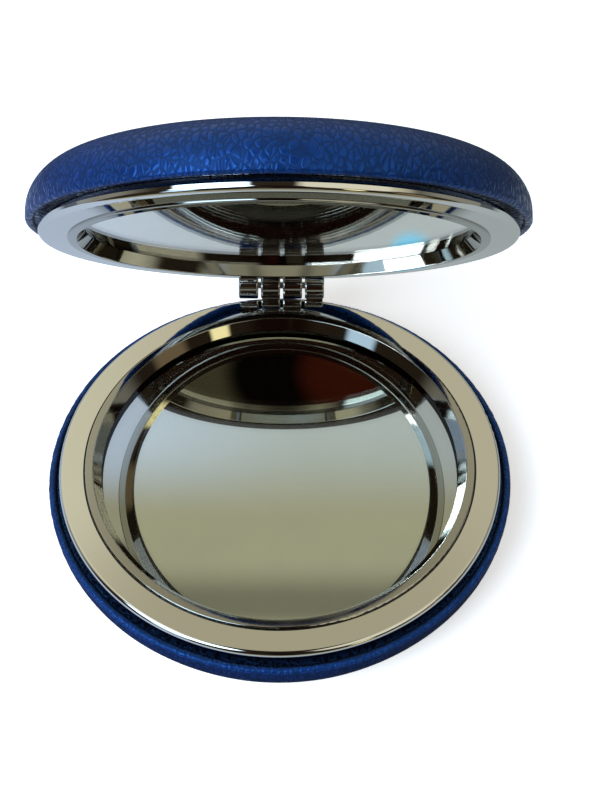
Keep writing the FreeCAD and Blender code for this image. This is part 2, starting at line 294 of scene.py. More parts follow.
@dataclass(frozen=True)
class GrainedLeather:
    """Embossed, dyed and glazed leather: pebbles with thin creases, and a satin blue sheen that glints on them."""

    name: str = "glazed_grained_leather"
    dye: str = "#10306f"
    deep_dye: str = "#0c265a"
    crease_shade_colour: str = "#050c22"
    # Painted shade: the folded edge in the dark crevice under the rim is darkened in colour.
    edge_tint_and_fold_shade: str = "#05070d"
    sheen_colour: str = "#4f93ff"
    pebble_size: float = 0.9 * MM
    pebble_height: float = 0.055 * MM
    pebble: Fade = Fade(0.0, 0.3)
    crease_shade: Fade = Fade(0.0, 0.17, 0.75, 0.0)
    bend_size: float = 1.5 * MM
    bend: float = 0.26 * MM
    pore_size: float = 0.2 * MM
    pore_height: float = 0.006 * MM
    cloud_size: float = 9 * MM
    cloud: Fade = Fade(*NOISE_BAND)
    gloss: Fade = Fade(0.0, 1.0, 0.5, 0.22)
    index: float = 1.7
    level: float = 1.0

    def material(self) -> Material:
        """Builds the grain on the cover's own flat pattern: distance to a cell's edge gives height, gloss and painted
        shade.

        Returns:
            The new material.
        """
        material, tree, shader, place = new_material(self.name)
        flat = add_node(tree, "Attribute", attribute_name=FLAT_PATTERN).outputs["Vector"]
        bend = add_node(tree, "TexNoise", {"Scale": 1 / self.bend_size, "Detail": 2.0}, {"Vector": flat})
        centred = add_node(tree, "VectorMath", {1: (0.5, 0.5, 0.5)}, {0: bend.outputs["Color"]}, operation="SUBTRACT")
        shift = add_node(tree, "VectorMath", {"Scale": 2 * self.bend}, {0: centred}, operation="SCALE")
        bent = add_node(tree, "VectorMath", None, {0: flat, 1: shift}, operation="ADD")
        cells = add_node(
            tree, "TexVoronoi", {"Scale": 1 / self.pebble_size}, {"Vector": bent}, feature="DISTANCE_TO_EDGE"
        )
        pebble, crease_shade = (
            add_node(tree, "MapRange", fade.sockets, {"Value": cells}, interpolation_type="SMOOTHSTEP")
            for fade in (self.pebble, self.crease_shade)
        )
        cloud = add_node(tree, "TexNoise", {"Scale": 1 / self.cloud_size, "Detail": 4.0}, {"Vector": place})
        drift = add_node(tree, "MapRange", self.cloud.sockets, {"Value": cloud})
        dye = add_node(
            tree, "Mix", {"A": linear(self.deep_dye), "B": linear(self.dye)}, {"Factor": drift}, data_type="RGBA"
        )
        # Painted shade: the creases between the pebbles are darkened in colour.
        colour = add_node(
            tree, "Mix", {"B": linear(self.crease_shade_colour)}, {"Factor": crease_shade, "A": dye}, data_type="RGBA"
        )
        # Painted shade on the folded edge, which turns in under the rim, darkest inside the fold.
        fold = add_node(tree, "Attribute", attribute_name=PAINTED_FOLD_SHADE).outputs["Fac"]
        shaded_fold = add_node(
            tree, "Mix", {"B": linear(self.edge_tint_and_fold_shade)}, {"Factor": fold, "A": colour}, data_type="RGBA"
        )
        gloss = add_node(tree, "MapRange", self.gloss.sockets, {"Value": pebble})
        pores = add_node(tree, "TexNoise", {"Scale": 1 / self.pore_size, "Detail": 2.0}, {"Vector": flat})
        fine = add_node(tree, "Bump", {"Distance": self.pore_height}, {"Height": pores})
        grain = add_node(tree, "Bump", {"Distance": self.pebble_height}, {"Height": pebble, "Normal": fine})
        glaze = {"Specular Tint": linear(self.sheen_colour), "Specular IOR Level": self.level, "IOR": self.index}
        plug(tree, shader, glaze, {"Base Color": shaded_fold, "Roughness": gloss, "Normal": grain})
        return material


@dataclass(frozen=True)
class MatteFiller:
    """A plain inner material, foamed or moulded: one dull colour, mottled at the size of its own cells."""

    name: str
    colour: str
    dark: str
    cell_size: float
    cell_height: float
    roughness: float

    def material(self) -> Material:
        """Builds the filler: cells that tint and dent the surface.

        Returns:
            The new material.
        """
        material, tree, shader, place = new_material(self.name)
        cells = add_node(tree, "TexVoronoi", {"Scale": 1 / self.cell_size}, {"Vector": place})
        tone = add_node(
            tree, "Mix", {"A": linear(self.colour), "B": linear(self.dark)}, {"Factor": cells}, data_type="RGBA"
        )
        dents = add_node(tree, "Bump", {"Distance": self.cell_height}, {"Height": cells})
        plug(tree, shader, {"Roughness": self.roughness}, {"Base Color": tone, "Normal": dents})
        return material


PADDING_FOAM = MatteFiller("polyurethane_foam", "#d9d2bd", "#b8ae94", 0.6 * MM, 0.2 * MM, 0.95)
MOULDED_SHELL = MatteFiller("moulded_polypropylene", "#26272a", "#1d1e20", 0.4 * MM, 0.02 * MM, 0.55)
ADHESIVE_PAD = MatteFiller("adhesive_foam_pad", "#e6e4de", "#cfccc4", 0.3 * MM, 0.05 * MM, 0.8)


@dataclass(frozen=True)
class DrawnSteel:
    """Drawn steel wire: a grey metal with fine lines along its length."""

    name: str = "drawn_steel_wire"
    colour: str = "#c4c5c7"
    line_size: float = 0.08 * MM
    line_draw: Triple = (0.05, 1.0, 1.0)
    gloss: Fade = Fade(*NOISE_BAND, 0.16, 0.3)

    def material(self) -> Material:
        """Builds the steel: noise stretched along the pin streaks its gloss.

        Returns:
            The new material.
        """
        material, tree, shader, place = new_material(self.name)
        along = add_node(tree, "Mapping", {"Scale": self.line_draw}, {"Vector": place})
        lines = add_node(tree, "TexNoise", {"Scale": 1 / self.line_size}, {"Vector": along})
        rough = add_node(tree, "MapRange", self.gloss.sockets, {"Value": lines})
        plug(tree, shader, {"Base Color": linear(self.colour), "Metallic": 1.0}, {"Roughness": rough})
        return material


@dataclass(frozen=True)
class Placement:
    """Where a half lies: its shapes are worked out face up, and the upper half is turned over and raised."""

    half: Half
    hinge_back: float
    hinge_height: float
    lid_angle: float

    @classmethod
    def of(cls, half: Half) -> "Placement":
        """Reads the hinge from the frame.

        Args:
            half: the half to place.

        Returns:
            Its placement at rest.
        """
        hinge = frame["joints"][0]
        _, back, height = hinge["pos_m"]
        return cls(half, back, height, math.radians(-hinge["range_deg"][0]))

    def carry(self, points: Array) -> Array:
        """Moves points of the face-up half to where this half lies.

        The upper half is turned half round about the Y direction at the hinge's height, which lays it face down
        on the lower one, and is then raised by the lid angle about the pin.

        Args:
            points: an array whose last axis holds x, y and z.

        Returns:
            The points at rest, in the same layout.
        """
        if self.half is Half.LOWER:
            return points
        back = points[..., 1] - self.hinge_back
        up = self.hinge_height - points[..., 2]
        cos, sin = math.cos(self.lid_angle), math.sin(self.lid_angle)
        return np.stack([
            -points[..., 0],
            self.hinge_back + back * cos + up * sin,
            self.hinge_height - back * sin + up * cos,
        ], axis=-1)


def section(corners: list[Triple], step: float) -> Array:
    """Gives points along a section made of straight runs, with each corner rounded by an arc tangent to both runs.

    An arc of radius q at a corner that turns by t leaves the runs q * tan(t / 2) before and after the corner. Runs
    and arcs are divided evenly.

    Args:
        corners: radius, height and rounding of each corner, from the axis back to the axis.
        step: the longest piece of a straight run.

    Returns:
        Radius and height of the points, in order.
    """
    points = np.array([corner[:2] for corner in corners])
    runs = []
    left = points[0]
    for place, rounding in enumerate([corner[2] for corner in corners[1:-1]], start=1):
        before = points[place] - points[place - 1]
        after = points[place + 1] - points[place]
        before /= np.hypot(*before)
        after /= np.hypot(*after)
        turn = math.atan2(before[0] * after[1] - before[1] * after[0], before @ after)
        cut = rounding * abs(math.tan(turn / 2))
        start = points[place] - cut * before
        side = math.copysign(1.0, turn) * np.array([-before[1], before[0]])
        centre = start + rounding * side
        bends = np.linspace(0, turn, max(3, round(abs(math.degrees(turn)) / ARC_DEGREES) + 1))[:, None]
        spoke = start - centre
        across = np.array([-spoke[1], spoke[0]])
        count = max(1, math.ceil(np.hypot(*(start - left)) / step))
        runs.append(left + np.linspace(0, 1, count, endpoint=False)[:, None] * (start - left))
        runs.append((centre + np.cos(bends) * spoke + np.sin(bends) * across)[:-1])
        left = points[place] + cut * after
    count = max(1, math.ceil(np.hypot(*(points[-1] - left)) / step))
    runs.append(left + np.linspace(0, 1, count + 1)[:, None] * (points[-1] - left))
    return np.concatenate(runs)


def add_piece(name: str, points: Array, faces: list[list[int]]) -> Object:
    """Makes one smooth-shaded piece at the origin.

    Args:
        name: the piece's name.
        points: its points, one x, y and z a row.
        faces: the points of each face.

    Returns:
        The new object.
    """
    mesh = bpy.data.meshes.new(name)
    mesh.from_pydata(points.tolist(), [], faces)
    mesh.polygons.foreach_set("use_smooth", np.ones(len(mesh.polygons), dtype=bool))
    mesh.update()
    piece = bpy.data.objects.new(name, mesh)
    bpy.context.scene.collection.objects.link(piece)
    return piece


def turned_mesh(piece: str, placement: Placement, rings: Array, ends: Array | None = None) -> Object:
    """Closes a stack of rings into one smooth shell, or into a hoop where it has no ends.

    Vertex (row, column) joins its neighbours by a quad that wraps round the columns. Each end joins the ring beside
    it by a fan of triangles, and in a hoop the last ring joins the first.

    Args:
        piece: the piece's name without its half.
        placement: where the half lies.
        rings: rows, columns and x, y, z of the face-up half, with columns anticlockwise about the axis.
        ends: the first and the last point on the axis.

    Returns:
        The new object, at the origin.
    """
    rows, columns, _ = rings.shape
    index = np.arange(rows * columns).reshape(rows, columns)
    after = np.roll(index, -1, axis=1)
    quads = np.stack([index, after, np.roll(after, -1, axis=0), np.roll(index, -1, axis=0)], axis=-1)
    points = rings.reshape(-1, 3)
    faces = quads.reshape(-1, 4).tolist()
    if ends is not None:
        first = np.full(columns, rows * columns)
        start = np.stack([first, after[0], index[0]], axis=-1)
        finish = np.stack([first + 1, index[-1], after[-1]], axis=-1)
        points = np.concatenate([points, ends])
        faces = faces[:-columns] + start.tolist() + finish.tolist()
    return add_piece(placement.half.node(piece), placement.carry(points), faces)


def around(outline: Array, columns: int) -> Array:
    """Carries an outline round the axis: (r, z) becomes (r cos a, r sin a, z) at even angles a.

    Args:
        outline: radius and height of its points.
        columns: the number of angles.

    Returns:
        One ring for each point.
    """
    angles = np.linspace(0, 2 * np.pi, columns, endpoint=False)
    radius, height = outline[:, :1], np.broadcast_to(outline[:, 1:], (len(outline), columns))
    return np.stack([radius * np.cos(angles), radius * np.sin(angles), height], axis=-1)


def spin(profile: Array, columns: int) -> tuple[Array, Array]:
    """Carries a profile that starts and stops on the axis round it.

    Args:
        profile: radius and height from one point on the axis to the other.
        columns: the number of angles.

    Returns:
        The rings of the points off the axis, and the two end points.
    """
    return around(profile[1:-1], columns), np.array([[0, 0, profile[0, 1]], [0, 0, profile[-1, 1]]])


def lengths(profile: Array) -> Array:
    """Measures along a section.

    Args:
        profile: radius and height of its points.

    Returns:
        The length from its start to each point.
    """
    return np.concatenate([[0.0], np.cumsum(np.hypot(*np.diff(profile, axis=0).T))])


def dress(piece: Object, material: Material) -> None:
    """Gives a piece one material.

    Args:
        piece: the piece.
        material: its finish.
    """
    piece.data.materials.clear()
    piece.data.materials.append(material)


@dataclass
class PaddedCover:
    """The soft back of one half: leather drawn over foam, with its edge rolled in under the plated rim."""

    placement: Placement
    leather: Material
    foam: Material
    thickness: float = 1.0 * MM
    edge_radius: float = 32.0 * MM
    roll_round: float = 0.55 * MM
    fold_width: float = 1.2 * MM
    fold_depth: float = 0.5 * MM
    fold_round: float = 0.45 * MM
    flap_thickness: float = 0.4 * MM
    flap_round: float = 0.15 * MM
    crown_inset: float = 11.8 * MM
    crown_slope: float = math.radians(16.8)
    shoulder_share: float = 0.867
    crown_share: float = 0.97
    foam_gap: float = 0.15 * MM
    shell_floor: float = 0.95 * MM
    plateau_radius: float = 27.25 * MM
    columns: int = 448
    padding_columns: int = 112
    step: float = 1.2 * MM
    pucker_waves: tuple[int, ...] = (61, 97, 139)
    pucker_height: float = 0.05 * MM
    pucker_reach: float = 2.2 * MM
    swell_waves: tuple[int, ...] = (3, 5, 8)
    swell_height: float = 0.08 * MM
    swell_rise: float = 3.0 * MM
    relief_fade: float = 1.0 * MM
    seed: int = 11
    stretch: float = 0.7
    fold_shade_share: float = 0.55
    stretch_inset: float = 4.72 * MM
    stretch_reach: float = 9.0 * MM

    def __post_init__(self) -> None:
        """Reads the cover's radius, foot and edge height from its solid in the lower half."""
        low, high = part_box(Half.LOWER.node("leather_cover"))
        self.radius = high.x
        self.foot = low.z
        self.edge_height = high.z

    def dome(self, inset: float) -> list[Triple]:
        """Gives the corners of the cover's section, from the axis at its foot over crown and shoulder to the side.

        The flat foot meets a sloping flank, and the flank the upright side, both with rounded corners. Inside the
        outer face a section has its corners on the bisectors and its arcs on the same centres.

        Args:
            inset: depth inside the outer face.

        Returns:
            Radius, height and rounding, from the axis outwards.
        """
        tangent = math.tan(self.crown_slope)
        shoulder_height = self.foot + self.crown_inset * tangent
        reach = (self.edge_height - self.roll_round - shoulder_height) * self.shoulder_share
        shoulder = reach / math.tan((math.pi / 2 - self.crown_slope) / 2)
        crown_reach = (self.crown_inset / math.cos(self.crown_slope) - reach) * self.crown_share
        crown = crown_reach / math.tan(self.crown_slope / 2)
        bend_radius = self.radius - self.crown_inset - inset * math.tan(self.crown_slope / 2)
        foot = self.foot + inset
        side = self.radius - inset
        return [
            (0.0, foot, 0.0),
            (bend_radius, foot, crown - inset),
            (side, foot + (side - bend_radius) * tangent, shoulder - inset),
        ]

    def skin(self) -> Array:
        """Gives the leather's closed section: over the dome, round the folded edge, along the flap and back inside.

        Returns:
            Radius and height, from the axis outside to the axis inside.
        """
        fold = self.radius - self.fold_width
        flap_top = self.edge_height - self.fold_depth
        flap_foot = flap_top - self.flap_thickness
        return section([
            *self.dome(0.0),
            (self.radius, self.edge_height, self.roll_round),
            (fold, self.edge_height, self.fold_round),
            (fold, flap_top, self.flap_round),
            (self.edge_radius, flap_top, self.flap_round),
            (self.edge_radius, flap_foot, self.flap_round),
            (self.radius - self.thickness, flap_foot, self.flap_round),
            *reversed(self.dome(self.thickness)),
        ], self.step)

    def relief(self, rings: Array) -> Array:
        """Moves the outer skin in along its radius: puckers where it is drawn over the edge, a slow swell elsewhere.

        The puckers are fine waves round the axis that fall away with depth below the edge, and the swell is slow
        waves on the flank. Both vanish where the cover rests, and neither stands proud of the section.

        Args:
            rings: the skin's rings.

        Returns:
            The rings with the relief added.
        """
        draw = np.random.default_rng(self.seed)
        angle = np.arctan2(rings[..., 1], rings[..., 0])
        radius = np.hypot(rings[..., 0], rings[..., 1])
        depth = self.edge_height - rings[..., 2]
        pucker, swell = (
            np.cos(angle[..., None] * np.array(waves) + draw.uniform(0, 2 * np.pi, len(waves))).mean(axis=-1)
            for waves in (self.pucker_waves, self.swell_waves)
        )
        drawn = self.pucker_height * np.exp(-((depth - self.roll_round) / self.pucker_reach) ** 2)
        flank = self.swell_height * np.clip((rings[..., 2] - self.foot) / self.swell_rise, 0, 1)
        outside = np.clip((radius - self.edge_radius) / self.relief_fade, 0, 1)
        move = (pucker * drawn + swell * flank - self.pucker_height / 2) * outside
        grown = 1 + np.minimum(move, 0) / radius
        return np.concatenate([rings[..., :2] * grown[..., None], rings[..., 2:]], axis=-1)

    def flat_pattern(self, profile: Array) -> Array:
        """Lays the skin out flat, so that its grain is drawn out down the side as on a flat hide pulled over.

        A point at length s along the section from the axis lies at angle a and radius q on the flat hide. The rate
        dq / ds falls from one on the crown to the stretch on the side, over a set reach about the shoulder.

        Args:
            profile: radius and height of the section.

        Returns:
            Places on the flat hide, one for each vertex of the skin.
        """
        length = lengths(profile)
        shoulder = length[np.argmax(profile[:, 0] > self.radius - self.stretch_inset)]
        share = np.clip((length - shoulder) / self.stretch_reach + 0.5, 0, 1)
        rate = 1 - (1 - self.stretch) * share ** 2 * (3 - 2 * share)
        reach = np.concatenate([[0.0], np.cumsum(np.diff(length) * (rate[1:] + rate[:-1]) / 2)])
        rings = around(np.stack([reach, np.zeros(len(reach))], axis=-1)[1:-1], self.columns)
        return np.concatenate([rings.reshape(-1, 3), np.zeros((1, 3)), [[reach[-1], 0.0, 0.0]]])

    def painted_fold_shade(self, profile: Array) -> Array:
        """Marks the painted shade of the leather's folded edge: one inside the fold, fading to none on its top.

        The mark grows from none at the section's highest point to one over a share of the fold's rounding.

        Args:
            profile: radius and height of the section.

        Returns:
            The mark of each vertex of the skin.
        """
        length = lengths(profile)
        start = length[np.argmax(profile[:, 1])]
        mark = np.clip((length - start) / (self.fold_shade_share * self.fold_round), 0, 1)
        return np.concatenate([np.repeat(mark[1:-1], self.columns), [0.0, 1.0]])

    def build(self) -> None:
        """Builds the leather and the foam of this half and dresses them."""
        half = self.placement.half
        profile = self.skin()
        rings, ends = spin(profile, self.columns)
        leather = turned_mesh("cover_skin", self.placement, self.relief(rings), ends)
        layout = leather.data.attributes.new(FLAT_PATTERN, "FLOAT_VECTOR", "POINT")
        layout.data.foreach_set("vector", self.flat_pattern(profile).ravel())
        edge = leather.data.attributes.new(PAINTED_FOLD_SHADE, "FLOAT", "POINT")
        edge.data.foreach_set("value", self.painted_fold_shade(profile))
        dress(leather, self.leather)
        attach(leather, half.body)
        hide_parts(half.node("leather_cover"))
        LOG.info("leather of the %s half: %d faces", half.value, len(leather.data.polygons))
        self.build_padding()

    def stuffing(self) -> Array:
        """Gives the foam's closed section: out along the dome, up the side and back over the moulded shell.

        Returns:
            Radius and height, from the axis outside to the axis inside.
        """
        shell_low, shell_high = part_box(Half.LOWER.node("cover_shell"))
        pad_low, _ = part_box(Half.LOWER.node("mirror_pad"))
        _, foam_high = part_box(Half.LOWER.node("cover_foam"))
        outer = self.dome(self.thickness + self.foam_gap)
        trough = shell_low.z - self.foam_gap
        plateau = pad_low.z - self.shell_floor - self.foam_gap
        wall = shell_high.x + self.foam_gap
        return section([
            *outer,
            (outer[-1][0], foam_high.z, self.flap_round),
            (wall, foam_high.z, self.flap_round),
            (wall, trough, self.flap_round),
            (self.plateau_radius, trough, self.flap_round),
            (self.plateau_radius, plateau, self.flap_round),
            (0.0, plateau, 0.0),
        ], self.step)

    def build_padding(self) -> None:
        """Builds the foam between the shell and the leather, and rides it on this half."""
        half = self.placement.half
        rings, ends = spin(self.stuffing(), self.padding_columns)
        foam = turned_mesh("padding", self.placement, rings, ends)
        dress(foam, self.foam)
        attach(foam, half.body)
        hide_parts(half.node("cover_foam"))
        LOG.info("padding of the %s half: %d faces", half.value, len(foam.data.polygons))


@dataclass
class MirrorPlate:
    """The mirror of one half: its glass is the frame's solid, and the silver on its back is a thin disc."""

    placement: Placement
    glass: Material
    silver: Material
    coat: float = 0.02 * MM
    margin: float = 0.2 * MM
    rows: int = 12
    columns: int = 256

    def build(self) -> None:
        """Lays the silver across the back face of the glass, as a disc from just inside it to just behind it."""
        half = self.placement.half
        low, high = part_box(Half.LOWER.node("mirror_glass"))
        radii = np.linspace(0, high.x - self.margin, self.rows)
        heights = np.repeat([low.z - self.coat, low.z + self.coat], self.rows)
        profile = np.stack([np.concatenate([radii, radii[::-1]]), heights], axis=-1)
        silver = turned_mesh("silvering", self.placement, *spin(profile, self.columns))
        silver.data.polygons.foreach_set("use_smooth", np.zeros(len(silver.data.polygons), dtype=bool))
        dress(silver, self.silver)
        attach(silver, half.body)
        dress(frame["nodes"][half.node("mirror_glass")], self.glass)
        LOG.info("mirror of the %s half: silver %.1f mm across", half.value, 2 * radii[-1] / MM)


@dataclass
class PlatedFittings:
    """The metal of one half, rim frame and mirror bezel, the joint between them and the hidden moulded parts."""

    placement: Placement
    chrome: Material
    nickel: Material
    joint_shadow: Material
    shell: Material
    pad: Material
    face_height: float = 11.6 * MM
    lip_radius: float = 29.4 * MM
    rim_radius: float = 33.35 * MM
    rim_round: float = 0.7 * MM
    hinge_start: float = 27.0 * MM
    hinge_reach: float = 12.0 * MM
    slack: float = 0.01 * MM
    merge: float = 0.0001 * MM
    bead_width: float = 0.24 * MM
    bead_height: float = 0.05 * MM
    bead_foot: float = 0.04 * MM
    bead_points: int = 9
    columns: int = 384

    def bead(self) -> None:
        """Lays the painted shadow in the joint round the bezel's lip: a low arch, closed below, carried round the
        axis.

        The arch stands on the rim's face, from the lip outwards: its height is the bead's height times the sine of
        an angle that runs from nought to a half turn across its width, and its foot lies inside the plate.
        """
        half = self.placement.half
        turn = np.linspace(0, np.pi, self.bead_points)
        across = self.lip_radius + self.bead_width * (1 - np.cos(turn)) / 2
        arch = np.stack([across, self.face_height + self.bead_height * np.sin(turn)], axis=-1)
        foot = np.stack([across, np.full_like(across, self.face_height - self.bead_foot)], axis=-1)
        rings = around(np.concatenate([arch[::-1], foot]), self.columns)
        bead = turned_mesh("bezel_joint", self.placement, rings)
        dress(bead, self.joint_shadow)
        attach(bead, half.body)
        LOG.info("joint of the %s bezel: %d faces", half.value, len(bead.data.polygons))

    def trued(self, place: Array, normal: Array) -> Array:
        """Trues the normals of a turned solid, whose triangles meet unevenly.

        Away from the hinge each normal is laid in the plane through the axis. On the rim's outer edge it is the
        direction from the middle of the edge's rounding: ((r - r0) / q, (z - z0) / q) along r and z.

        Args:
            place: where each corner is, in the half that lies face up.
            normal: each corner's normal as it came.

        Returns:
            The trued normals at rest.
        """
        origin = self.placement.carry(np.zeros(3))
        level = self.placement.carry(normal) - origin
        radius = np.maximum(np.hypot(place[:, 0], place[:, 1]), MM)
        spoke = place[:, :2] / radius[:, None]
        middle, foot = self.rim_radius - self.rim_round, self.face_height - self.rim_round
        edge = (radius > middle - self.slack) & (place[:, 2] > foot - self.slack)
        out = np.where(edge, (radius - middle) / self.rim_round, (level[:, :2] * spoke).sum(axis=1))
        up = np.where(edge, (place[:, 2] - foot) / self.rim_round, level[:, 2])
        turned = np.concatenate([out[:, None] * spoke, up[:, None]], axis=1)
        turned /= np.maximum(np.linalg.norm(turned, axis=1), TINY)[:, None]
        hinge = (place[:, 1] > self.hinge_start) & (np.abs(place[:, 0]) < self.hinge_reach)
        return self.placement.carry(np.where(hinge[:, None], level, turned)) - origin

    def plate(self, piece: str, name: str, material: Material) -> None:
        """Makes a merged copy of a plated solid with trued shading, and lets it stand for the solid.

        Points that fall together are merged, and each point also carries its place in the half that lies face up,
        which the finish reads. The placement turns a half over and back, so it is its own reverse.

        Args:
            piece: the solid's name without its half.
            name: the copy's name without its half.
            material: the finish.
        """
        half = self.placement.half
        solid = frame["nodes"][half.node(piece)].data
        points = np.empty(3 * len(solid.vertices))
        solid.vertices.foreach_get("co", points)
        points = points.reshape(-1, 3)
        corner = np.empty(len(solid.loops), dtype=np.int64)
        solid.loops.foreach_get("vertex_index", corner)
        normal = np.empty(3 * len(corner))
        solid.corner_normals.foreach_get("vector", normal)
        grid = np.round(points / self.merge)
        _, first, merged = np.unique(grid, axis=0, return_index=True, return_inverse=True)
        faces = merged.ravel()[corner].reshape(-1, 3)
        whole = (faces != np.roll(faces, 1, axis=1)).all(axis=1)
        lying = self.placement.carry(points)
        normals = self.trued(lying[corner], normal.reshape(-1, 3)).reshape(-1, 3, 3)[whole]
        plated = add_piece(half.node(name), points[first], faces[whole].tolist())
        layout = plated.data.attributes.new(LYING_PLACE, "FLOAT_VECTOR", "POINT")
        layout.data.foreach_set("vector", lying[first].ravel())
        plated.data.normals_split_custom_set(normals.reshape(-1, 3).tolist())
        plated.data.update()
        dress(plated, material)
        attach(plated, half.body)
        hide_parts(half.node(piece))
        LOG.info("%s: %s, %d faces", plated.name, material.name, len(plated.data.polygons))

    def build(self) -> None:
        """Plates the rim and the bezel, dresses the hidden solids and lays painted shade in the lower bezel's joint.
        """
        half = self.placement.half
        self.plate("rim_frame", "rim_plate", self.chrome)
        self.plate("mirror_bezel", "bezel_plate", self.nickel)
        for piece, material in {"cover_shell": self.shell, "mirror_pad": self.pad}.items():
            dress(frame["nodes"][half.node(piece)], material)
            LOG.info("%s: %s", half.node(piece), material.name)
        if half is Half.LOWER:
            self.bead()


@dataclass(frozen=True)
class RoomPatch:
    """A soft round patch of the room that polished metal shows: a window, a wall or something dark."""

    toward: Triple
    inner: float
    outer: float
    colour: str
    strength: float = 1.0

    @property
    def fade(self) -> Fade:
        """How the patch fades out, by the cosine of the angle from its middle."""
        return Fade(math.cos(math.radians(self.outer)), math.cos(math.radians(self.inner)))


@dataclass(frozen=True)
class Lamp:
    """An area lamp that faces the part from a direction and distance, with a face of a width and height."""

    name: str
    toward: Triple
    distance: float
    size: tuple[float, float]
    watts: float
    colour: str


